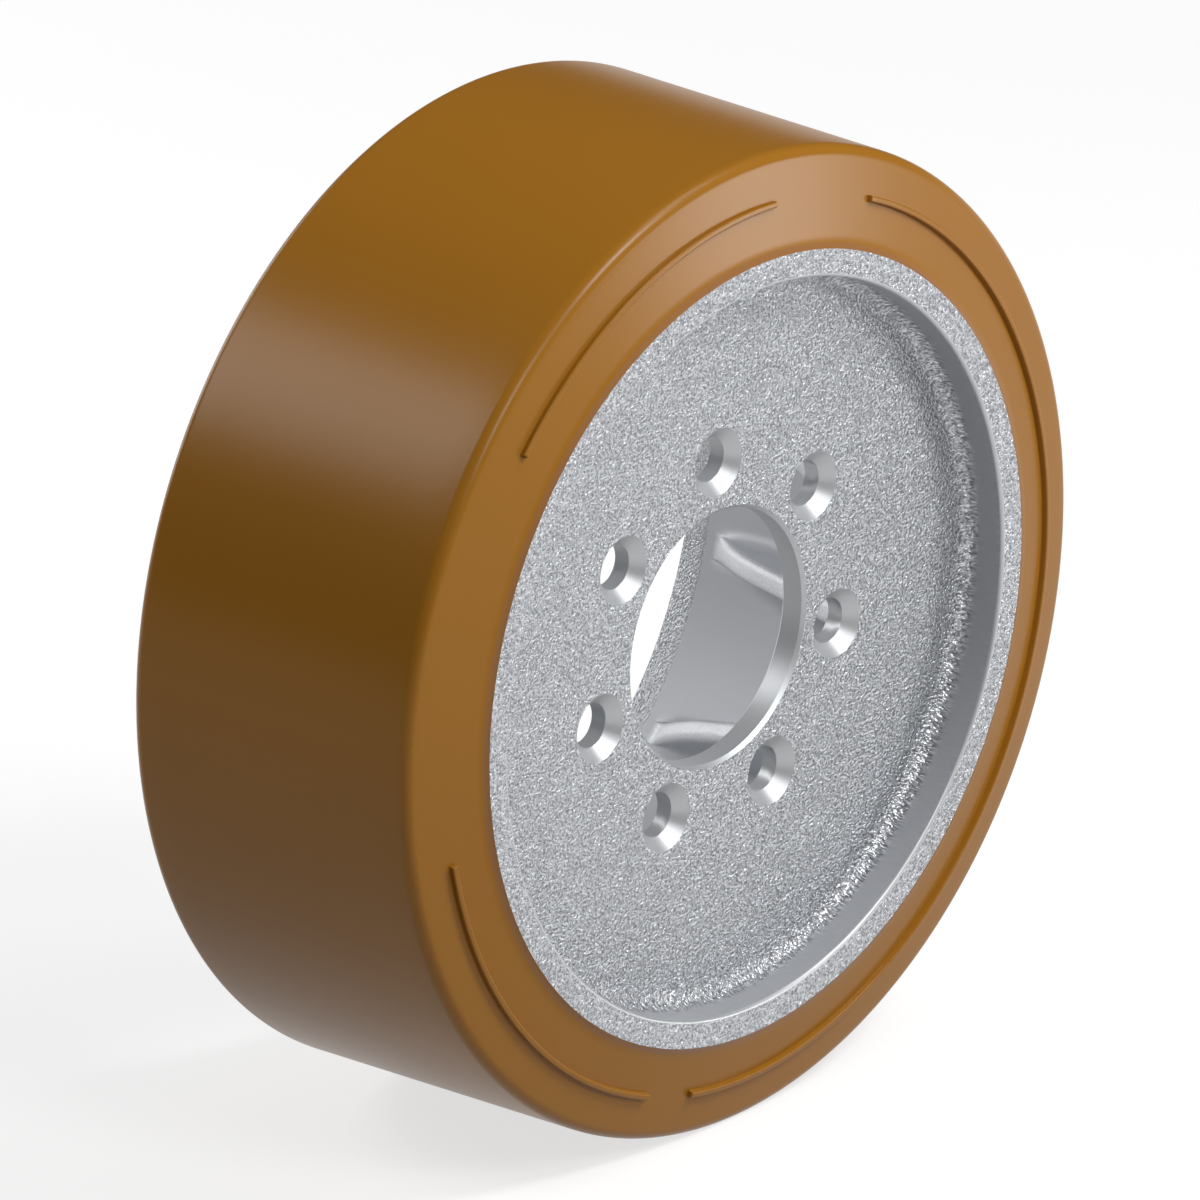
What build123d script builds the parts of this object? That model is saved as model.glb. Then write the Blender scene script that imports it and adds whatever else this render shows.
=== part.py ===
from build123d import *
import math
import os

# A bolt-on drive wheel: an iron wheel centre with a polyurethane tread bonded round its rim.
# The wheel spins about Y. Its front, with the shallow recess and the seats of the wheel bolts, faces -Y,
# and the deep cavity that takes the drive unit opens towards +Y. Lengths are in millimetres, angles in degrees.

# Tread
TREAD_DIAMETER = 285.0        # over the running surface
TREAD_WIDTH = 99.0            # across the running surface, up to the sharp corners that the rounding takes off
TREAD_THICKNESS = 28.0        # from the bond face on the rim to the running surface
TREAD_CORNER_RADIUS = 3.9     # rounding between the running surface and each side face
TREAD_LIP_WIDTH = 1.6         # bevelled lip where the tread runs out against the rim's edge
TREAD_LIP_DROP = 1.1          # how far the lip falls back from the casting's face

# Raised bead on the front side face of the tread
BEAD_INSET = 13.7             # from the running surface in to its centre line
BEAD_HEIGHT = 1.6             # above the side face
BEAD_FOOT_WIDTH = 1.9         # where it stands on the side face
BEAD_TOP_WIDTH = 1.6          # before its edges are rounded
BEAD_EDGE_RADIUS = 0.4
BEAD_ARCS = (                 # first angle and sweep of each stretch, seen from the front, from +X towards +Z
    (84.4, 53.6),
    (192.0, 58.8),
    (-101.0, 166.8),
)

# Rim of the casting
RIM_OVERHANG = 7.0            # how far each face of the rim stands out past the tread's corners
RIM_WALL = 9.5                # between the bond face and the rear cavity
RECESS_WALL = 8.1             # between the bond face and the front recess
RECESS_DEPTH = 13.5           # from the rim's front face to the web
RECESS_CORNER_RADIUS = 5.0    # between the recess wall and the web
CAVITY_CORNER_RADIUS = 10.0   # between the cavity wall and the web
MOUTH_FLARE = 1.5             # how much the rear cavity's mouth widens on the radius
MOUTH_DEPTH = 9.3             # length of the flared mouth
RIM_EDGE_RADIUS = 1.0         # rounding of both mouths

# Web, bore and bolt holes
WEB_THICKNESS = 8.5
BORE_DIAMETER = 74.0          # seat for the pilot of the drive unit's hub
BORE_CHAMFER = 1.0
BOLT_COUNT = 7
BOLT_CIRCLE_DIAMETER = 104.5
BOLT_HOLE_DIAMETER = 13.0     # clearance hole for an M12 wheel bolt
BOLT_SEAT_DIAMETER = 20.0     # mouth of the cone seat
BOLT_SEAT_ANGLE = 90.0        # included angle of the cone seat
FIRST_BOLT_ANGLE = 90.0       # one bolt hole stands at the top

# Ribs in the corner between the web and the cavity wall
RIB_COUNT = 12
RIB_THICKNESS = 7.0
FIRST_RIB_ANGLE = 15.0
RIB_FOOT_CLEARANCE = 13.25    # from the bolt circle out to where a rib's crest meets the web
RIB_SHOULDER_REACH = 19.0     # from the cavity wall in to where the crest starts to turn out
RIB_TURN_HEIGHT = 29.0        # height over which the crest turns out to the wall
RIB_TOP_SETBACK = 14.0        # from the rim's rear face down to where the crest meets the wall
RIB_ROOT_RADIUS = 5.0         # fillet between a rib and the wall and web
RIB_CREST_RADIUS = 2.5        # rounding of a rib's crest

FULL_TURN = 360.0
HALF = 0.5
OVERRUN = 1.0                 # how far a cutter runs past the face that it opens
TOUCHING = 0.001              # points closer than this are the same

# Places worked out from the sizes
tread_r = TREAD_DIAMETER * HALF
corner_y = TREAD_WIDTH * HALF
rim_r = tread_r - TREAD_THICKNESS
rear_y = corner_y + RIM_OVERHANG
front_y = -rear_y
web_front_y = front_y + RECESS_DEPTH
web_rear_y = web_front_y + WEB_THICKNESS
recess_r = rim_r - RECESS_WALL
cavity_r = rim_r - RIM_WALL
lip_r = rim_r + TREAD_LIP_WIDTH
lip_y = rear_y - TREAD_LIP_DROP
bore_r = BORE_DIAMETER * HALF
bolt_circle_r = BOLT_CIRCLE_DIAMETER * HALF
bolt_hole_r = BOLT_HOLE_DIAMETER * HALF
bolt_seat_r = BOLT_SEAT_DIAMETER * HALF


def around_axis(angle, radius, y):
    """Point at this angle from +X towards +Z, this far from the spin axis."""
    turn = math.radians(angle)
    return (radius * math.cos(turn), y, radius * math.sin(turn))


def spun(profile, angle=FULL_TURN):
    """Solid swept by a profile in the XY plane, X being the radius, round the spin axis."""
    return revolve(profile, axis=Axis.Y, revolution_arc=angle)


def tread_profile():
    """Half section of the tread, with its side faces leaning out from the corners to the lips."""
    points = [
        (rim_r, -rear_y),
        (lip_r, -lip_y),
        (tread_r, -corner_y),
        (tread_r, corner_y),
        (lip_r, lip_y),
        (rim_r, rear_y),
    ]
    outline = make_face(Polyline(points, close=True))
    corners = [corner for corner in outline.vertices() if abs(corner.X - tread_r) < TREAD_LIP_DROP * HALF]
    return fillet(corners, TREAD_CORNER_RADIUS)


def bead_profile():
    """Section of the raised bead, standing square on the leaning side face with its foot sunk into the tread."""
    along = Vector(tread_r - lip_r, lip_y - corner_y).normalized()
    out = Vector(along.Y, -along.X)
    bead_r = tread_r - BEAD_INSET
    middle = Vector(bead_r, -lip_y + (bead_r - lip_r) * along.Y / along.X)
    top = BEAD_TOP_WIDTH * HALF
    foot = BEAD_FOOT_WIDTH * HALF
    corners = [
        middle + along * foot - out * BEAD_HEIGHT,
        middle + along * foot,
        middle + along * top + out * BEAD_HEIGHT,
        middle - along * top + out * BEAD_HEIGHT,
        middle - along * foot,
        middle - along * foot - out * BEAD_HEIGHT,
    ]
    section = make_face(Polyline(corners, close=True))
    edges = section.vertices().sort_by(Axis.Y)[:2]
    return fillet(edges, BEAD_EDGE_RADIUS)


def make_tread():
    """Tread ring with the stretches of its raised bead."""
    ring = spun(tread_profile())
    for first_angle, sweep in BEAD_ARCS:
        ring += Rot(0, -first_angle, 0) * spun(bead_profile(), -sweep)
    return ring


def rim_and_web_profile():
    """Half section of the casting: a wide rim, and a web set near its front, with the bore still solid."""
    recess_corner = (recess_r, web_front_y)
    recess_edge = (recess_r, front_y)
    mouth_edge = (cavity_r + MOUTH_FLARE, rear_y)
    cavity_corner = (cavity_r, web_rear_y)
    points = [
        (0.0, web_front_y),
        recess_corner,
        recess_edge,
        (rim_r, front_y),
        (rim_r, rear_y),
        mouth_edge,
        (cavity_r, rear_y - MOUTH_DEPTH),
        cavity_corner,
        (0.0, web_rear_y),
    ]
    rounding = {
        recess_corner: RECESS_CORNER_RADIUS,
        recess_edge: RIM_EDGE_RADIUS,
        mouth_edge: RIM_EDGE_RADIUS,
        cavity_corner: CAVITY_CORNER_RADIUS,
    }
    outline = make_face(Polyline(points, close=True))
    for (radius, y), rounding_radius in rounding.items():
        corner = outline.vertices().sort_by_distance((radius, y))[0]
        outline = fillet(corner, rounding_radius)
    return outline


def make_rib():
    """One rib on +X: its rounded crest climbs from the web, then curves out to the cavity wall."""
    buried_r = cavity_r + RIB_ROOT_RADIUS
    buried_y = web_rear_y - RIB_ROOT_RADIUS
    foot = (bolt_circle_r + RIB_FOOT_CLEARANCE, web_rear_y)
    top = (cavity_r, rear_y - RIB_TOP_SETBACK)
    shoulder = (cavity_r - RIB_SHOULDER_REACH, top[1] - RIB_TURN_HEIGHT)
    climb = Line(foot, shoulder)
    turn_out = TangentArc(shoulder, top, tangent=climb % 1.0)
    back = Polyline(top, (buried_r, top[1]), (buried_r, buried_y), (foot[0], buried_y), foot)
    rib = extrude(make_face([climb, turn_out, back]), RIB_THICKNESS * HALF, both=True)
    crest = []
    for edge in rib.edges().filter_by(Axis.Z, reverse=True):
        middle = edge @ HALF
        flat_middle = Vertex(middle.X, middle.Y, 0.0)
        if min(climb.distance_to(flat_middle), turn_out.distance_to(flat_middle)) < TOUCHING:
            crest.append(edge)
    return fillet(crest, RIB_CREST_RADIUS)


def bore_cutter():
    """Bore with a chamfer at each end."""
    wide_r = bore_r + BORE_CHAMFER + OVERRUN
    points = [
        (0.0, web_front_y - OVERRUN),
        (wide_r, web_front_y - OVERRUN),
        (bore_r, web_front_y + BORE_CHAMFER),
        (bore_r, web_rear_y - BORE_CHAMFER),
        (wide_r, web_rear_y + OVERRUN),
        (0.0, web_rear_y + OVERRUN),
    ]
    return spun(make_face(Polyline(points, close=True)))


def bolt_cutter():
    """Bolt hole on the spin axis, with its cone seat opening towards the front."""
    slope = math.tan(math.radians(BOLT_SEAT_ANGLE * HALF))
    seat_depth = (bolt_seat_r - bolt_hole_r) / slope
    points = [
        (0.0, web_front_y - OVERRUN),
        (bolt_seat_r + OVERRUN * slope, web_front_y - OVERRUN),
        (bolt_hole_r, web_front_y + seat_depth),
        (bolt_hole_r, web_rear_y + OVERRUN),
        (0.0, web_rear_y + OVERRUN),
    ]
    return spun(make_face(Polyline(points, close=True)))


def make_wheel_centre():
    """The casting: rim and web with the ribs blended in, then bored and drilled."""
    blank = spun(rim_and_web_profile())
    rib = make_rib()
    rib_angles = [FIRST_RIB_ANGLE + index * FULL_TURN / RIB_COUNT for index in range(RIB_COUNT)]
    ribs = [Rot(0, -angle, 0) * rib for angle in rib_angles]
    casting = blank + ribs
    casting = fillet(new_edges(blank, *ribs, combined=casting), RIB_ROOT_RADIUS)
    bolt_angles = [FIRST_BOLT_ANGLE + index * FULL_TURN / BOLT_COUNT for index in range(BOLT_COUNT)]
    bolt_holes = [Pos(*around_axis(angle, bolt_circle_r, 0.0)) * bolt_cutter() for angle in bolt_angles]
    return casting - bore_cutter() - bolt_holes


os.makedirs("parts", exist_ok=True)
export_step(make_tread(), "parts/tread.step")
export_step(make_wheel_centre(), "parts/wheel_centre.step")
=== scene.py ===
"""A bolt-on drive wheel: a ribbed iron wheel centre with a moulded polyurethane tread bonded round its rim.

The wheel spins about Y. Its front, with the shallow recess, the bore and the seats of the wheel bolts, faces
-Y, and the deep ribbed cavity opens towards +Y. Angles are seen from the front, from +X towards +Z.
Both pieces are surfaces worked out with numpy, in metres, inside the box of the CAD node that each replaces.
"""

import math

import bpy
import numpy as np
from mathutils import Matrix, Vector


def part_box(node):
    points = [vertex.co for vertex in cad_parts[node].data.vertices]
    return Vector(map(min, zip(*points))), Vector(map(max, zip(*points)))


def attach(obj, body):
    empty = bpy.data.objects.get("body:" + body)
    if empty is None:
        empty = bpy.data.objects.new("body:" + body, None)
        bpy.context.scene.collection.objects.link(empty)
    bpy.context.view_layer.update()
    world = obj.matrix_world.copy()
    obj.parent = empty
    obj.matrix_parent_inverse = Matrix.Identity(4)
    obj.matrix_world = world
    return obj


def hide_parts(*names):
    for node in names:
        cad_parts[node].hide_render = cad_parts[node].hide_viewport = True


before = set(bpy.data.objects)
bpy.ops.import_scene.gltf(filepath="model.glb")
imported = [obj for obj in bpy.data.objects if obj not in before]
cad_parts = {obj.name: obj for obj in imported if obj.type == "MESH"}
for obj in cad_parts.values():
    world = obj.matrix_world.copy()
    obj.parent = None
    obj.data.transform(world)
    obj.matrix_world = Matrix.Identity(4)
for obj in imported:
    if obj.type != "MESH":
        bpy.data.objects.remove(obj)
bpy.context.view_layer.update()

MM = 0.001

# Outside sizes, read from the frame
tread_low, tread_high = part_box("tread")
rim_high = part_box("wheel_centre")[1]
TREAD_R = tread_high[0]
RIM_R = rim_high[0]
FACE_Y = rim_high[1]

# Tread
CORNER_Y = FACE_Y - 7.0 * MM
CORNER_RADIUS = 3.9 * MM
LIP_WIDTH = 1.6 * MM
LIP_DROP = 1.1 * MM

# Raised bead on the tread's front side face, with the first angle and the sweep of each stretch
BEAD_R = TREAD_R - 13.7 * MM
BEAD_HEIGHT = 1.6 * MM
BEAD_HALF_FOOT = 0.95 * MM
BEAD_HALF_TOP = 0.8 * MM
BEAD_EDGE = 0.4 * MM
BEAD_ARCS = ((84.4, 53.6), (192.0, 58.8), (-101.0, 166.8))

# Rim of the casting
RECESS_R = RIM_R - 8.1 * MM
CAVITY_R = RIM_R - 9.5 * MM
MOUTH_FLARE = 1.5 * MM
MOUTH_DEPTH = 9.3 * MM
EDGE_RADIUS = 1.0 * MM
WEB_FRONT_Y = -FACE_Y + 13.5 * MM
WEB_REAR_Y = WEB_FRONT_Y + 8.5 * MM
RECESS_CORNER = 5.0 * MM
CAVITY_CORNER = 10.0 * MM

# Bore and bolt holes
BORE_R = 37.0 * MM
BORE_CHAMFER = 1.0 * MM
BOLT_COUNT = 7
BOLT_CIRCLE_R = 52.25 * MM
HOLE_R = 6.5 * MM
SEAT_R = 10.0 * MM
FIRST_BOLT = 90.0

# Ribs
RIB_COUNT = 12
FIRST_RIB = 15.0
RIB_HALF = 3.5 * MM
RIB_ROOT = 5.0 * MM
RIB_CREST = 2.5 * MM
RIB_FOOT_R = BOLT_CIRCLE_R + 13.25 * MM
RIB_TOP_Y = FACE_Y - 14.0 * MM
RIB_SHOULDER = (CAVITY_R - 19.0 * MM, RIB_TOP_Y - 29.0 * MM)
RIB_ZONE_R = 60.5 * MM
RIB_ZONE_Y = FACE_Y - 10.5 * MM

# Fineness of the grids
STEPS_PER_SECTOR = 72
CASTING_STEPS = BOLT_COUNT * STEPS_PER_SECTOR
RIB_COLUMNS = CASTING_STEPS // RIB_COUNT
TREAD_STEPS = 720
RIM_RUN_STEPS = 3
FRONT_WEB_ROWS = 12
REAR_WEB_ROWS = 8
RIB_ROWS = 72
SETTLING_ROWS = 3
FINE_SAMPLES = 6001
MERGE_WITHIN = 0.001 * MM
SMOOTH_BELOW = 32.0

# Cast grain: its noise scale and height, the share of its frequency along the axis at the front, the shares of
# its strength in the cavity and on walls along the axis, and how far the recess wall goes to the darker colour
# as painted shade
GRAIN_SCALE = 1300.0
GRAIN_HEIGHT = 0.45 * MM
FRONT_STRETCH = 0.2
CAVITY_GRAIN = 0.2
WALL_GRAIN = 0.04
WALL_PAINTED_SHADE = 0.6

# Colours as they look on a screen
TREAD_BROWN = (153, 102, 27)
TREAD_BLOTCH = (157, 105, 31)
# A duller, greyer brown painted on the bevelled lip, standing in for the way the bevel catches the light
LIP_PAINTED_BROWN = (150, 104, 60)
# The next two are the casting's own grey and a shaded copy of it, used as painted shade in the grain's hollows
# and on the recess wall
CAST_TOP = (220, 222, 226)
CAST_PAINTED_SHADE = (134, 136, 140)
MACHINED_GREY = (192, 194, 196)
FLOOR_GREY = (170, 170, 170)

# The photograph's view
VIEW_AZIMUTH = -49.87
VIEW_ELEVATION = 22.04
VIEW_WIDTH = 0.3330
VIEW_RIGHT = 0.00004
VIEW_UP = -0.00011
VIEW_DISTANCE = 2.0

# Studio: each lamp's name, place, size and power
LAMPS = (
    ("low_front_right", (1.03, -1.05, 0.02), 0.4, 5.5),
    ("upper_front", (0.34, -0.90, 1.12), 0.4, 11.0),
    ("high_right", (0.65, -0.45, 1.28), 0.5, 4.0),
    ("front_left", (-0.37, -1.15, 0.88), 0.4, 5.5),
    ("back_left_top", (-0.73, 0.90, 0.94), 0.5, 5.5),
    ("back", (0.10, 1.45, 0.35), 0.8, 7.0),
)
WORLD_LEVEL = 0.05
FLOOR_GLOW = 0.7
FLOOR_HALF = 6.0


def arc(centre, radius, start, end, steps):
    """Points on a circle in the profile plane, from the start to the end angle in degrees, both included."""
    turn = np.radians(np.linspace(start, end, steps + 1))
    return np.stack([centre[0] + radius * np.cos(turn), centre[1] + radius * np.sin(turn)], axis=1)


def line(start, end, steps):
    """Evenly spaced points from start to end, both included."""
    share = np.linspace(0.0, 1.0, steps + 1)[:, None]
    return np.asarray(start) * (1.0 - share) + np.asarray(end) * share


def rounded(corners, radii, arc_steps=8, line_steps=1):
    """Open profile through the corners, where each inner corner with a radius becomes an arc.

    The arc touches both runs at radius times the tangent of half the turn from the corner.
    """
    corners = np.asarray(corners, dtype=float)
    runs = [corners[:1]]
    for before, corner, after, radius in zip(corners[:-2], corners[1:-1], corners[2:], radii):
        into = (corner - before) / np.linalg.norm(corner - before)
        out = (after - corner) / np.linalg.norm(after - corner)
        turn = math.atan2(into[0] * out[1] - into[1] * out[0], into @ out)
        if radius == 0.0:
            runs.append(line(runs[-1][-1], corner, line_steps)[1:])
            continue
        reach = radius * math.tan(abs(turn) / 2.0)
        side = math.copysign(1.0, turn)
        inward = side * np.array([-into[1], into[0]])
        start = corner - into * reach
        centre = start + inward * radius
        first = math.degrees(math.atan2(*(start - centre)[::-1]))
        runs.append(line(runs[-1][-1], start, line_steps)[1:])
        runs.append(arc(centre, radius, first, first + math.degrees(turn), arc_steps)[1:])
    runs.append(line(runs[-1][-1], corners[-1], line_steps)[1:])
    return np.concatenate(runs)


def spun(profile, angles):
    """Grid of a profile turned about Y: x is r cos a, z is r sin a, with a row for each angle in radians."""
    radius = profile[None, :, 0]
    turn = angles[:, None]
    height = np.broadcast_to(profile[None, :, 1], (len(angles), len(profile)))
    return np.stack([radius * np.cos(turn), height, radius * np.sin(turn)], axis=-1)


def quads(rows, columns, wrap_rows=False, wrap_columns=False, flip=False):
    """Corner numbers of the quads of a grid, row by row, joined end to end where it wraps."""
    row = np.arange(rows if wrap_rows else rows - 1)[:, None]
    column = np.arange(columns if wrap_columns else columns - 1)[None, :]
    next_row = (row + 1) % rows
    next_column = (column + 1) % columns
    corners = [row * columns + column, row * columns + next_column,
               next_row * columns + next_column, next_row * columns + column]
    faces = np.stack([np.broadcast_to(c, corners[0].shape) for c in corners], axis=-1).reshape(-1, 4)
    return faces[:, ::-1] if flip else faces


def build(name, patches, materials):
    """One mesh from patches of (points, quads, material number).

    Points at the same place become one, and a quad that has the same point twice in a row becomes a triangle.
    """
    points = np.concatenate([patch[0].reshape(-1, 3) for patch in patches])
    starts = np.cumsum([0] + [patch[0].size // 3 for patch in patches[:-1]])
    faces = np.concatenate([patch[1] + start for patch, start in zip(patches, starts)])
    finish = np.concatenate([np.full(len(patch[1]), patch[2]) for patch in patches])
    keys, first, same = np.unique(np.round(points / MERGE_WITHIN).astype(np.int64), axis=0,
                                  return_index=True, return_inverse=True)
    points = points[first]
    faces = same.reshape(-1)[faces]
    kept = faces != np.roll(faces, -1, axis=1)
    whole = kept.sum(axis=1) >= 3
    faces, kept, finish = faces[whole], kept[whole], finish[whole]
    corners = faces[kept]
    sizes = kept.sum(axis=1)
    mesh = bpy.data.meshes.new(name)
    mesh.vertices.add(len(points))
    mesh.vertices.foreach_set("co", points.ravel())
    mesh.loops.add(len(corners))
    mesh.loops.foreach_set("vertex_index", corners)
    mesh.polygons.add(len(sizes))
    mesh.polygons.foreach_set("loop_start", np.cumsum(sizes) - sizes)
    mesh.polygons.foreach_set("material_index", finish)
    mesh.polygons.foreach_set("use_smooth", np.ones(len(sizes), dtype=bool))
    mesh.update(calc_edges=True)
    mesh.validate()
    mesh.set_sharp_from_angle(angle=math.radians(SMOOTH_BELOW))
    for material in materials:
        mesh.materials.append(material)
    piece = bpy.data.objects.new(name, mesh)
    bpy.context.collection.objects.link(piece)
    return piece


def bead_section():
    """Offsets and heights of the bead's section: leaning flanks and a flat top with rounded edges."""
    corners = [(-BEAD_HALF_FOOT, 0.0), (-BEAD_HALF_TOP, BEAD_HEIGHT), (BEAD_HALF_TOP, BEAD_HEIGHT),
               (BEAD_HALF_FOOT, 0.0)]
    section = rounded(corners, (BEAD_EDGE, BEAD_EDGE), arc_steps=5, line_steps=2)
    return section[:, 0], section[:, 1]


def bead_rise(heights, angles):
    """Height of the bead's section at each of these angles.

    It is the lesser of the section's own height and the height that the same flank has at that distance
    inside the nearer end of the stretch, and nothing outside it.
    """
    offsets, flank = bead_section()
    half = len(offsets) // 2
    rise = np.zeros((len(angles), len(heights)))
    for first, sweep in BEAD_ARCS:
        off = (angles - math.radians(first + sweep / 2.0) + math.pi) % (2.0 * math.pi) - math.pi
        inside = BEAD_R * (math.radians(sweep / 2.0) - np.abs(off))
        end_height = np.interp(inside, offsets[:half] - offsets[0], flank[:half], left=0.0, right=BEAD_HEIGHT)
        rise = np.maximum(rise, np.minimum(heights[None, :], end_height[:, None]))
    return rise


def tread_angles():
    """Even steps round the wheel, and one for each point of the flank at both ends of each bead."""
    offsets, heights = bead_section()
    flank = (offsets[:len(offsets) // 2] - offsets[0]) / BEAD_R
    starts = np.radians([first for first, sweep in BEAD_ARCS])
    ends = np.radians([first + sweep for first, sweep in BEAD_ARCS])
    near_ends = np.concatenate([(starts[:, None] + flank).ravel(), (ends[:, None] - flank).ravel()])
    near_ends = near_ends % (2.0 * math.pi)
    even = np.arange(TREAD_STEPS) * 2.0 * math.pi / TREAD_STEPS
    away = np.abs((even[:, None] - near_ends[None, :] + math.pi) % (2.0 * math.pi) - math.pi).min(axis=1)
    return np.sort(np.concatenate([even[away > 0.2 * MM / BEAD_R], near_ends]))


def make_tread(material):
    """The tread: its half section turned about Y, with the bead raised square to the leaning front face."""
    lip = np.array([RIM_R + LIP_WIDTH, FACE_Y - LIP_DROP])
    lean = (CORNER_Y - lip[1]) / (TREAD_R - lip[0])
    length = math.hypot(1.0, lean)
    corners = [(RIM_R, FACE_Y), lip, (TREAD_R, CORNER_Y), (TREAD_R, 0.0)]
    side = rounded(corners, (0.0, CORNER_RADIUS), arc_steps=10)
    arc_start = side[2]
    offsets, heights = bead_section()
    on_bead = BEAD_R + offsets / length
    inner = np.linspace(lip[0], on_bead[0], 6)[:-1]
    outer = np.linspace(on_bead[-1], arc_start[0], 5)[1:]
    radius = np.concatenate([inner, on_bead, outer])
    face = np.stack([radius, lip[1] + (radius - lip[0]) * lean], axis=1)
    front = np.concatenate([side[:1], face, side[3:-1]]) * (1.0, -1.0)
    rear = np.concatenate([side[:1], line(lip, arc_start, 8), side[3:-1]])[::-1]
    middle = line(front[-1], rear[0], 12)[1:-1]
    bond = line(rear[-1], front[0], 2)[1:-1]
    profile = np.concatenate([front, middle, rear, bond])
    angles = tread_angles()
    full_height = np.zeros(len(profile))
    full_height[1 + len(inner):1 + len(inner) + len(heights)] = heights
    rise = bead_rise(full_height, angles)
    grid = spun(profile, angles)
    grid[..., 0] += rise * np.cos(angles)[:, None] * -lean / length
    grid[..., 2] += rise * np.sin(angles)[:, None] * -lean / length
    grid[..., 1] -= rise / length
    faces = quads(len(angles), len(profile), wrap_rows=True, wrap_columns=True)
    return build("tread_ring", [(grid, faces, 0)], [material])


def sector_border(inner_r, outer_r, side_steps=24):
    """Closed border of a bolt's sector of the web, with the bolt on +X: outer arc, side, inner arc, side."""
    half = math.pi / BOLT_COUNT
    turn = np.linspace(-half, half, STEPS_PER_SECTOR + 1)
    outer = outer_r * np.stack([np.cos(turn), np.sin(turn)], axis=1)
    inner = inner_r * np.stack([np.cos(turn), np.sin(turn)], axis=1)[::-1]
    down = line(outer[-1], inner[0], side_steps)
    up = line(inner[-1], outer[0], side_steps)
    return np.concatenate([outer[:-1], down[:-1], inner[:-1], up[:-1]])


def web_sector(border, hole_r, y, rows):
    """Flat grid from the edge of a bolt's hole out to its sector's border.

    Each line runs straight out from the hole's centre. Its shares are 0.6 of the step's number plus 0.4 of
    its square, so the steps grow outwards.
    """
    centre = np.array([BOLT_CIRCLE_R, 0.0])
    out = border - centre
    bearing = out / np.linalg.norm(out, axis=1)[:, None]
    edge = centre + bearing * hole_r
    even = np.linspace(0.0, 1.0, rows + 1)
    share = (even * 0.6 + even ** 2 * 0.4)[:, None, None]
    flat = edge[None] * (1.0 - share) + border[None] * share
    grid = np.stack([flat[..., 0], np.full(flat.shape[:2], y), flat[..., 1]], axis=-1)
    return grid, np.arctan2(bearing[:, 1], bearing[:, 0])


def hole_wall(front_bearing, rear_bearing):
    """Cone seat and hole of one bolt: circles from the seat's mouth through the web, at radii and depths.

    The circles below the seat lie at 0, a half, three quarters and all of the way from the seat to the rear,
    and their bearings ease from the front grid's to the rear grid's.
    """
    seat_depth = SEAT_R - HOLE_R
    web_depth = WEB_REAR_Y - WEB_FRONT_Y
    radius = np.array([SEAT_R, SEAT_R - 0.5 * seat_depth, HOLE_R, HOLE_R, HOLE_R, HOLE_R])
    depth = np.array([0.0, 0.5 * seat_depth, seat_depth, 0.5 * (seat_depth + web_depth),
                      0.75 * web_depth + 0.25 * seat_depth, web_depth])
    share = np.clip((depth - seat_depth) / (depth[-1] - seat_depth), 0.0, 1.0)[:, None]
    swing = (rear_bearing - front_bearing + math.pi) % (2.0 * math.pi) - math.pi
    bearing = front_bearing[None] + share * swing[None]
    x = BOLT_CIRCLE_R + radius[:, None] * np.cos(bearing)
    z = radius[:, None] * np.sin(bearing)
    y = np.broadcast_to(WEB_FRONT_Y + depth[:, None], x.shape)
    return np.stack([x, y, z], axis=-1)


def turned(grid, degrees):
    """The grid turned about Y, from +X towards +Z."""
    c = math.cos(math.radians(degrees))
    s = math.sin(math.radians(degrees))
    return grid @ np.array([[c, 0.0, s], [0.0, 1.0, 0.0], [-s, 0.0, c]])


def travel(start, heading, moves, count):
    """Points and left-hand normals along lines and arcs in the profile plane.

    Each move is a length and a turn in radians. The heading grows evenly by the turn over the length, and
    the points add up steps along it, taken finely and then read off where the shares in count ask.
    """
    lengths = np.array([move[0] for move in moves])
    turns = np.array([move[1] for move in moves])
    ends = np.cumsum(lengths)
    fine = np.linspace(0.0, ends[-1], FINE_SAMPLES)
    turned_by = np.concatenate([[0.0], np.cumsum(turns)])
    heading_at = heading + np.interp(fine, np.concatenate([[0.0], ends]), turned_by)
    middle = 0.5 * (heading_at[1:] + heading_at[:-1])
    step = np.diff(fine)
    r = start[0] + np.concatenate([[0.0], np.cumsum(step * np.cos(middle))])
    y = start[1] + np.concatenate([[0.0], np.cumsum(step * np.sin(middle))])
    at = count * ends[-1]
    points = np.stack([np.interp(at, fine, r), np.interp(at, fine, y)], axis=1)
    angle = np.interp(at, fine, heading_at)
    return points, np.stack([-np.sin(angle), np.cos(angle)], axis=1)


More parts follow.
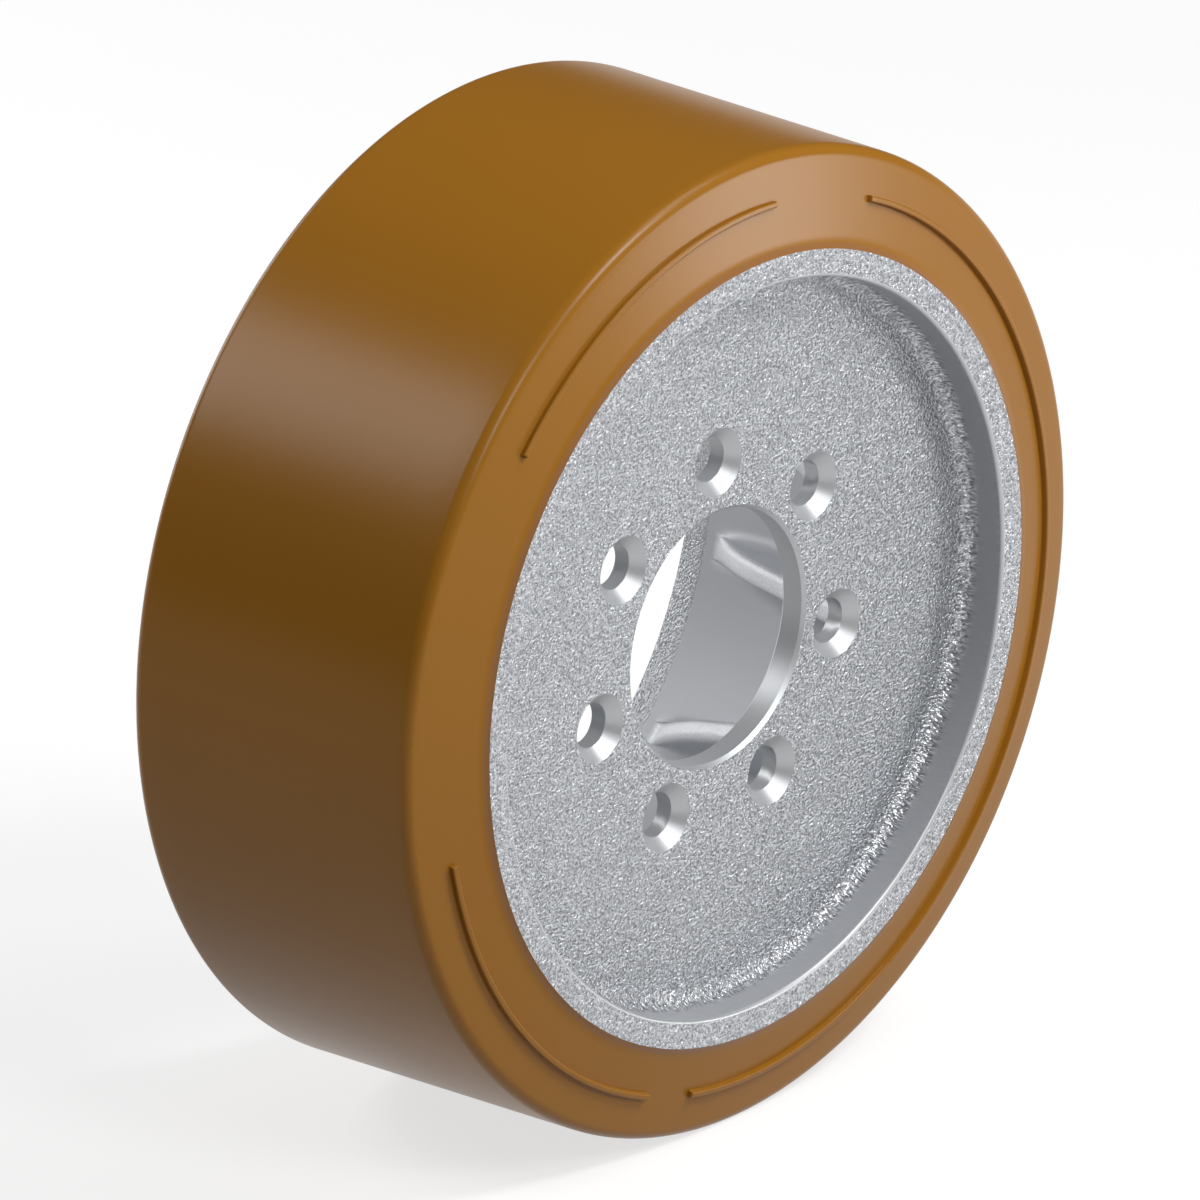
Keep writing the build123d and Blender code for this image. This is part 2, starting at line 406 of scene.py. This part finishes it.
def rib_paths(share):
    """Floor and crest of a rib in the profile plane at shares of length, with normals towards the cavity.

    Both leave the web where the crest's foot fillet starts and end on the wall where its top fillet ends.
    """
    rise = math.atan2(RIB_SHOULDER[1] - WEB_REAR_Y, RIB_SHOULDER[0] - RIB_FOOT_R)
    foot_reach = RIB_ROOT * math.tan(rise / 2.0)
    climb = math.hypot(RIB_SHOULDER[1] - WEB_REAR_Y, RIB_SHOULDER[0] - RIB_FOOT_R) - foot_reach
    chord = np.array([CAVITY_R - RIB_SHOULDER[0], RIB_TOP_Y - RIB_SHOULDER[1]])
    turn_out = 2.0 * (math.atan2(chord[1], chord[0]) - rise)
    arc_r = np.linalg.norm(chord) / (2.0 * math.sin(abs(turn_out) / 2.0))
    top_reach = RIB_ROOT * math.tan((math.pi / 2.0 - rise - turn_out) / 2.0)
    kept = turn_out + top_reach / arc_r
    heading = rise + kept
    arc_centre_r = RIB_SHOULDER[0] + arc_r * math.sin(rise)
    short_r = arc_centre_r - arc_r * math.sin(heading)
    top_r = (CAVITY_R - short_r) / (1.0 - math.sin(heading))
    start = (RIB_FOOT_R - foot_reach, WEB_REAR_Y)
    crest_moves = [(RIB_ROOT * rise, rise), (climb, 0.0), (arc_r * abs(kept), kept),
                   (top_r * (math.pi / 2.0 - heading), math.pi / 2.0 - heading)]
    crest, crest_normal = travel(start, 0.0, crest_moves, share)
    wall_top = crest[-1, 1] - WEB_REAR_Y - CAVITY_CORNER
    floor_moves = [(CAVITY_R - CAVITY_CORNER - start[0], 0.0), (CAVITY_CORNER * math.pi / 2.0, math.pi / 2.0),
                   (wall_top, 0.0)]
    floor, floor_normal = travel(start, 0.0, floor_moves, share)
    crest[-1] = floor[-1]
    return floor, floor_normal, crest, crest_normal


def rib_section():
    """Half of a rib's section, from mid gap to the crest's middle, as arrays of five parts.

    The parts are the gap's share left, the distance from the mid plane, and the weights of the root fillet's
    height, of the side face's climb and of the crest rounding's height.
    """
    gap_steps, root_steps, side_steps, crest_steps = 6, 7, 2, 5
    gap = np.linspace(1.0, 0.0, gap_steps + 1)[:-1]
    root = np.linspace(0.0, math.pi / 2.0, root_steps + 1)
    crest = np.linspace(0.0, math.pi / 2.0, crest_steps + 1)
    side = np.linspace(0.0, 1.0, side_steps + 1)[1:-1]
    foot = RIB_HALF + RIB_ROOT
    zeros = np.zeros_like
    share = np.concatenate([gap, zeros(root), zeros(side), zeros(crest), [0.0]])
    across = np.concatenate([np.full(len(gap), foot), foot - RIB_ROOT * np.sin(root),
                             np.full(len(side), RIB_HALF),
                             RIB_HALF - RIB_CREST + RIB_CREST * np.cos(crest), [0.0]])
    low = np.concatenate([zeros(gap), 1.0 - np.cos(root), np.ones(len(side) + len(crest) + 1)])
    climb = np.concatenate([zeros(gap), zeros(root), side, np.ones(len(crest) + 1)])
    high = np.concatenate([zeros(gap), zeros(root), zeros(side), np.sin(crest), [1.0]])
    return share, across, low, climb, high


def rib_sector(rows):
    """Cavity surface of one rib's sector, with the rib on +X.

    The rows stand at shares of the rib's length, closer at both ends, by 0.45 of even steps plus 0.55 of
    eased ones. A row's floor point moves along the floor's normal by the root fillet's height, then straight
    towards the point under the crest, and then along the crest's normal. Both heights shrink where the rib
    runs out.
    In the gap the points lie on the turned floor, evenly spaced from the root's edge to the sector's edge.
    """
    even = np.linspace(0.0, 1.0, rows)
    eased = 0.5 * (1.0 - np.cos(math.pi * even))
    share_along = 0.45 * even + 0.55 * eased
    floor, floor_normal, crest, crest_normal = rib_paths(share_along)
    gap_height = np.linalg.norm(crest - floor, axis=1)
    full = RIB_ROOT + RIB_CREST
    shrink = (gap_height / np.sqrt(gap_height ** 2 + full ** 2 + 1e-12))[:, None]
    shrink = np.minimum(shrink * 1.25, 1.0)
    over_root = floor + floor_normal * RIB_ROOT * shrink
    under_crest = crest - crest_normal * RIB_CREST * shrink
    share, across, low, climb, high = rib_section()
    root_up = floor_normal * RIB_ROOT * shrink
    point = (floor[:, None] + root_up[:, None] * low[None, :, None]
             + (under_crest - over_root)[:, None] * climb[None, :, None]
             + (crest_normal * RIB_CREST * shrink)[:, None] * high[None, :, None])
    half_sector = math.pi / RIB_COUNT
    edge = np.arcsin(np.clip(across[None, :] / floor[:, :1], -1.0, 1.0))
    angle = edge + (half_sector - edge) * share[None, :]
    in_gap = share[None, :] > 0.0
    side_r = np.sqrt(floor[:, :1] ** 2 - across[None, :] ** 2)
    lift = point[..., 0] - floor[:, :1]
    x = np.where(in_gap, floor[:, :1] * np.cos(angle), side_r + lift)
    z = np.where(in_gap, floor[:, :1] * np.sin(angle), np.broadcast_to(across[None, :], x.shape))
    half = np.stack([x, point[..., 1], z], axis=-1)
    other = half[:, ::-1][:, 1:] * (1.0, 1.0, -1.0)
    return np.concatenate([half, other], axis=1)


def settle(row, radius, y, count):
    """Straight rows from an uneven row of points to an evenly spaced one at this radius and height."""
    first = np.arctan2(row[:, 2], row[:, 0])
    last = np.linspace(first[0], first[-1], len(first))
    share = np.linspace(0.0, 1.0, count + 1)[:, None]
    angle = first[None] * (1.0 - share) + last[None] * share
    start_r = np.hypot(row[:, 0], row[:, 2])
    r = start_r[None] * (1.0 - share) + radius * share
    height = row[None, :, 1] * (1.0 - share) + y * share
    return np.stack([r * np.cos(angle), height, r * np.sin(angle)], axis=-1)


def make_casting(cast, machined):
    """The wheel centre: turned rim and bore, flat sectors with a bolt hole each, and ribbed sectors."""
    even = np.arange(CASTING_STEPS) * 2.0 * math.pi / CASTING_STEPS
    cast_number, machined_number = 0, 1
    recess_end = RECESS_R - RECESS_CORNER
    rim = rounded(
        [(recess_end, WEB_FRONT_Y), (RECESS_R, WEB_FRONT_Y), (RECESS_R, -FACE_Y), (RIM_R, -FACE_Y),
         (RIM_R, FACE_Y), (CAVITY_R + MOUTH_FLARE, FACE_Y), (CAVITY_R, FACE_Y - MOUTH_DEPTH),
         (CAVITY_R, RIB_ZONE_Y)],
        (RECESS_CORNER, EDGE_RADIUS, 0.0, 0.0, EDGE_RADIUS, 0.0), arc_steps=8, line_steps=RIM_RUN_STEPS)
    keep = np.concatenate([[True], np.linalg.norm(np.diff(rim, axis=0), axis=1) > 0.01 * MM])
    rim = rim[keep]
    on_edge = (rim[:, 1] < -FACE_Y + 1.01 * EDGE_RADIUS) & (rim[:, 0] < RECESS_R + 1.01 * EDGE_RADIUS)
    edge_run = on_edge[:-1] & on_edge[1:]
    rim_finish = np.tile(np.where(edge_run, machined_number, cast_number), len(even))
    patches = [(spun(rim, even), quads(len(even), len(rim), wrap_rows=True), rim_finish)]
    bore = np.array([
        (BORE_R + BORE_CHAMFER, WEB_REAR_Y),
        (BORE_R, WEB_REAR_Y - BORE_CHAMFER),
        (BORE_R, 0.5 * (WEB_REAR_Y + WEB_FRONT_Y)),
        (BORE_R, WEB_FRONT_Y + BORE_CHAMFER),
        (BORE_R + BORE_CHAMFER, WEB_FRONT_Y),
    ])
    patches.append((spun(bore, even), quads(len(even), len(bore), wrap_rows=True), machined_number))
    front, front_bearing = web_sector(sector_border(BORE_R + BORE_CHAMFER, recess_end), SEAT_R, WEB_FRONT_Y,
                                      FRONT_WEB_ROWS)
    rear, rear_bearing = web_sector(sector_border(BORE_R + BORE_CHAMFER, RIB_ZONE_R), HOLE_R, WEB_REAR_Y,
                                    REAR_WEB_ROWS)
    wall = hole_wall(front_bearing, rear_bearing)
    round_count = front.shape[1]
    for bolt in range(BOLT_COUNT):
        at = FIRST_BOLT + bolt * 360.0 / BOLT_COUNT
        front_faces = quads(len(front), round_count, wrap_columns=True, flip=True)
        patches.append((turned(front, at), front_faces, cast_number))
        patches.append((turned(rear, at), quads(len(rear), round_count, wrap_columns=True), cast_number))
        patches.append((turned(wall, at), quads(len(wall), round_count, wrap_columns=True), machined_number))
    ribbed = rib_sector(RIB_ROWS)
    foot = settle(ribbed[0], RIB_ZONE_R, WEB_REAR_Y, SETTLING_ROWS)[::-1]
    top = settle(ribbed[-1], CAVITY_R, RIB_ZONE_Y, SETTLING_ROWS)
    sector = np.concatenate([foot[:-1], ribbed, top[1:]])
    for rib in range(RIB_COUNT):
        at = FIRST_RIB + rib * 360.0 / RIB_COUNT
        patches.append((turned(sector, at), quads(len(sector), RIB_COLUMNS + 1, flip=True), cast_number))
    return build("ribbed_wheel_centre", patches, [cast, machined])


def node_material(name):
    """A new material with its node tree, its Principled shader, and a short way to add and link nodes."""
    material = bpy.data.materials.new(name)
    material.use_nodes = True
    tree = material.node_tree
    shader = tree.nodes["Principled BSDF"]

    def add(kind, **values):
        node = tree.nodes.new(kind)
        for key, value in values.items():
            if hasattr(node, key):
                setattr(node, key, value)
            else:
                node.inputs[key.replace("_", " ")].default_value = value
        return node

    return material, tree.links.new, shader, add


def linear(red, green, blue):
    """Colour values from 0 to 255, as they look on a screen, turned into Blender's linear values."""
    shares = np.array([red, green, blue]) / 255.0
    low = shares / 12.92
    high = ((shares + 0.055) / 1.055) ** 2.4
    return (*np.where(shares <= 0.04045, low, high), 1.0)


def polyurethane():
    """Satin moulded polyurethane, painted a little darker and duller on the bevelled lip beside the rim, a
    tone that stands in for how the bevel catches the light at its own angle.
    """
    material, link, shader, add = node_material("tread_polyurethane")
    shader.inputs["Roughness"].default_value = 0.28
    shader.inputs["Specular IOR Level"].default_value = 0.2
    place = add("ShaderNodeTexCoord")
    split = add("ShaderNodeSeparateXYZ")
    link(place.outputs["Object"], split.inputs[0])
    flat = add("ShaderNodeCombineXYZ")
    link(split.outputs["X"], flat.inputs["X"])
    link(split.outputs["Z"], flat.inputs["Z"])
    radius = add("ShaderNodeVectorMath", operation="LENGTH")
    link(flat.outputs[0], radius.inputs[0])
    # Mask of the bevelled lip, where the brown gives way to a painted tone that stands in for the light the
    # bevel catches
    lip_end = RIM_R + LIP_WIDTH
    lip = add("ShaderNodeMapRange", From_Min=lip_end - 0.2 * MM, From_Max=lip_end + 0.2 * MM)
    link(radius.outputs["Value"], lip.inputs["Value"])
    blotch = add("ShaderNodeTexNoise", Scale=18.0, Detail=3.0, Roughness=0.5)
    link(place.outputs["Object"], blotch.inputs["Vector"])
    tint = add("ShaderNodeMix", data_type="RGBA")
    tint.inputs["A"].default_value = linear(*TREAD_BROWN)
    tint.inputs["B"].default_value = linear(*TREAD_BLOTCH)
    link(blotch.outputs["Fac"], tint.inputs["Factor"])
    colour = add("ShaderNodeMix", data_type="RGBA")
    colour.inputs["A"].default_value = linear(*LIP_PAINTED_BROWN)
    link(lip.outputs["Result"], colour.inputs["Factor"])
    link(tint.outputs["Result"], colour.inputs["B"])
    link(colour.outputs["Result"], shader.inputs["Base Color"])
    skin = add("ShaderNodeTexNoise", Scale=900.0, Detail=2.0, Roughness=0.5)
    link(place.outputs["Object"], skin.inputs["Vector"])
    bump = add("ShaderNodeBump", Strength=0.15, Distance=0.02 * MM)
    link(skin.outputs["Fac"], bump.inputs["Height"])
    link(bump.outputs["Normal"], shader.inputs["Normal"])
    return material


def cast_iron():
    """Bare casting with a coarse wrinkled grain, with painted shade that makes it darker in its hollows and on
    the recess wall.

    The grain fades out on walls along the spin axis and is faint in the rear cavity, which is smoother. At the
    front it is stretched along the axis, and behind the middle plane it is even in all directions.
    """
    material, link, shader, add = node_material("casting_as_cast")
    place = add("ShaderNodeTexCoord")
    point = add("ShaderNodeSeparateXYZ")
    link(place.outputs["Object"], point.inputs[0])
    behind = add("ShaderNodeMath", operation="MAXIMUM")
    behind.inputs[1].default_value = 0.0
    link(point.outputs["Y"], behind.inputs[0])
    along = add("ShaderNodeMath", operation="MULTIPLY_ADD")
    along.inputs[1].default_value = FRONT_STRETCH
    link(point.outputs["Y"], along.inputs[0])
    link(behind.outputs[0], along.inputs[2])
    laid = add("ShaderNodeCombineXYZ")
    link(point.outputs["X"], laid.inputs["X"])
    link(along.outputs[0], laid.inputs["Y"])
    link(point.outputs["Z"], laid.inputs["Z"])
    noise = add("ShaderNodeTexNoise", Scale=GRAIN_SCALE, Detail=1.0, Roughness=0.4, Distortion=0.4)
    link(laid.outputs[0], noise.inputs["Vector"])
    grain = add("ShaderNodeMapRange", From_Min=0.27, From_Max=0.73)
    link(noise.outputs["Fac"], grain.inputs["Value"])
    split = add("ShaderNodeSeparateXYZ")
    link(place.outputs["Normal"], split.inputs[0])
    facing = add("ShaderNodeMath", operation="ABSOLUTE")
    link(split.outputs["Y"], facing.inputs[0])
    strength = add("ShaderNodeMapRange", From_Min=0.02, From_Max=0.2, To_Min=WALL_GRAIN)
    link(facing.outputs[0], strength.inputs["Value"])
    cavity = add("ShaderNodeMath", operation="COMPARE")
    cavity.inputs[1].default_value = 0.5 * (WEB_REAR_Y + FACE_Y - MOUTH_DEPTH)
    cavity.inputs[2].default_value = 0.5 * (FACE_Y - MOUTH_DEPTH - WEB_REAR_Y)
    link(point.outputs["Y"], cavity.inputs[0])
    fade = add("ShaderNodeMapRange", To_Min=1.0, To_Max=CAVITY_GRAIN)
    link(cavity.outputs[0], fade.inputs["Value"])
    coarse = add("ShaderNodeMath", operation="MULTIPLY")
    link(strength.outputs["Result"], coarse.inputs[0])
    link(fade.outputs["Result"], coarse.inputs[1])
    bump = add("ShaderNodeBump", Distance=GRAIN_HEIGHT)
    link(coarse.outputs[0], bump.inputs["Strength"])
    link(grain.outputs["Result"], bump.inputs["Height"])
    link(bump.outputs["Normal"], shader.inputs["Normal"])
    rough = add("ShaderNodeMapRange", To_Min=0.6, To_Max=0.31)
    link(coarse.outputs[0], rough.inputs["Value"])
    link(rough.outputs["Result"], shader.inputs["Roughness"])
    metal = add("ShaderNodeMapRange", To_Min=0.4, To_Max=0.78)
    link(coarse.outputs[0], metal.inputs["Value"])
    link(metal.outputs["Result"], shader.inputs["Metallic"])
    # Painted shade: the grain's hollows are darkened by how low they lie, scaled by the grain's strength
    low = add("ShaderNodeMath", operation="SUBTRACT")
    low.inputs[0].default_value = 1.0
    link(grain.outputs["Result"], low.inputs[1])
    hollow_painted_shade = add("ShaderNodeMath", operation="MULTIPLY")
    link(low.outputs[0], hollow_painted_shade.inputs[0])
    link(coarse.outputs[0], hollow_painted_shade.inputs[1])
    # Painted shade on walls along the spin axis, most of all the recess wall in front of the cavity and
    # faintly inside it, added to the hollows' shade to mix the base colour towards the shaded grey
    wall = add("ShaderNodeMath", operation="SUBTRACT")
    link(fade.outputs["Result"], wall.inputs[0])
    link(coarse.outputs[0], wall.inputs[1])
    painted_shade_factor = add("ShaderNodeMath", operation="MULTIPLY_ADD")
    painted_shade_factor.inputs[1].default_value = WALL_PAINTED_SHADE
    link(wall.outputs[0], painted_shade_factor.inputs[0])
    link(hollow_painted_shade.outputs[0], painted_shade_factor.inputs[2])
    shaded_cast_tone = add("ShaderNodeMix", data_type="RGBA")
    shaded_cast_tone.inputs["A"].default_value = linear(*CAST_TOP)
    shaded_cast_tone.inputs["B"].default_value = linear(*CAST_PAINTED_SHADE)
    link(painted_shade_factor.outputs[0], shaded_cast_tone.inputs["Factor"])
    link(shaded_cast_tone.outputs["Result"], shader.inputs["Base Color"])
    return material


def machined_iron():
    """Bored, chamfered and drilled faces: smooth and bright."""
    material, link, shader, add = node_material("casting_machined")
    shader.inputs["Base Color"].default_value = linear(*MACHINED_GREY)
    shader.inputs["Metallic"].default_value = 0.6
    shader.inputs["Roughness"].default_value = 0.42
    return material


def make_stage():
    """Pale floor under the wheel, glowing for the camera and in reflections, and an even white world."""
    mesh = bpy.data.meshes.new("floor")
    corners = [(-FLOOR_HALF, -FLOOR_HALF), (FLOOR_HALF, -FLOOR_HALF), (FLOOR_HALF, FLOOR_HALF),
               (-FLOOR_HALF, FLOOR_HALF)]
    mesh.from_pydata([(x, y, tread_low[2]) for x, y in corners], [], [(0, 1, 2, 3)])
    floor = bpy.data.objects.new("floor", mesh)
    bpy.context.collection.objects.link(floor)
    material, link, shader, add = node_material("floor_white")
    shader.inputs["Base Color"].default_value = linear(*FLOOR_GREY)
    shader.inputs["Roughness"].default_value = 1.0
    shader.inputs["Specular IOR Level"].default_value = 0.0
    shader.inputs["Emission Color"].default_value = (1.0, 1.0, 1.0, 1.0)
    path = add("ShaderNodeLightPath")
    seen = add("ShaderNodeMath", operation="ADD")
    link(path.outputs["Is Camera Ray"], seen.inputs[0])
    link(path.outputs["Is Glossy Ray"], seen.inputs[1])
    shown = add("ShaderNodeMath", operation="ADD")
    link(seen.outputs[0], shown.inputs[0])
    link(path.outputs["Is Transmission Ray"], shown.inputs[1])
    glow = add("ShaderNodeMapRange", To_Max=FLOOR_GLOW)
    link(shown.outputs[0], glow.inputs["Value"])
    link(glow.outputs["Result"], shader.inputs["Emission Strength"])
    mesh.materials.append(material)
    world = bpy.data.worlds.new("studio")
    bpy.context.scene.world = world
    world.use_nodes = True
    background = world.node_tree.nodes["Background"]
    background.inputs["Color"].default_value = (1.0, 1.0, 1.0, 1.0)
    background.inputs["Strength"].default_value = WORLD_LEVEL


def make_lamp(name, place, size, power):
    """Square area lamp at this place, facing the wheel's centre."""
    light = bpy.data.lights.new(name, "AREA")
    light.shape = "SQUARE"
    light.size = size
    light.energy = power
    lamp = bpy.data.objects.new(name, light)
    lamp.location = place
    towards = -np.array(place)
    lamp.rotation_euler = (math.atan2(math.hypot(towards[0], towards[1]), -towards[2]), 0.0,
                           math.atan2(towards[1], towards[0]) - math.pi / 2.0)
    bpy.context.collection.objects.link(lamp)


def make_camera():
    """Parallel-view camera at the photograph's angle, set to the photograph's frame."""
    azimuth = math.radians(VIEW_AZIMUTH)
    elevation = math.radians(VIEW_ELEVATION)
    forward = np.array([-math.sin(azimuth) * math.cos(elevation), math.cos(azimuth) * math.cos(elevation),
                        -math.sin(elevation)])
    right = np.array([math.cos(azimuth), math.sin(azimuth), 0.0])
    up = np.cross(right, forward)
    data = bpy.data.cameras.new("camera")
    data.type = "ORTHO"
    data.ortho_scale = VIEW_WIDTH
    data.clip_end = 20.0
    camera = bpy.data.objects.new("camera", data)
    camera.location = right * VIEW_RIGHT + up * VIEW_UP - forward * VIEW_DISTANCE
    camera.rotation_euler = (math.pi / 2.0 - elevation, 0.0, azimuth)
    bpy.context.collection.objects.link(camera)
    bpy.context.scene.camera = camera


make_stage()
for lamp_name, place, size, power in LAMPS:
    make_lamp(lamp_name, place, size, power)
make_camera()
bpy.context.scene.view_settings.view_transform = "Standard"

tread = make_tread(polyurethane())
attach(tread, "root")
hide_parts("tread")

casting = make_casting(cast_iron(), machined_iron())
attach(casting, "root")
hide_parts("wheel_centre")
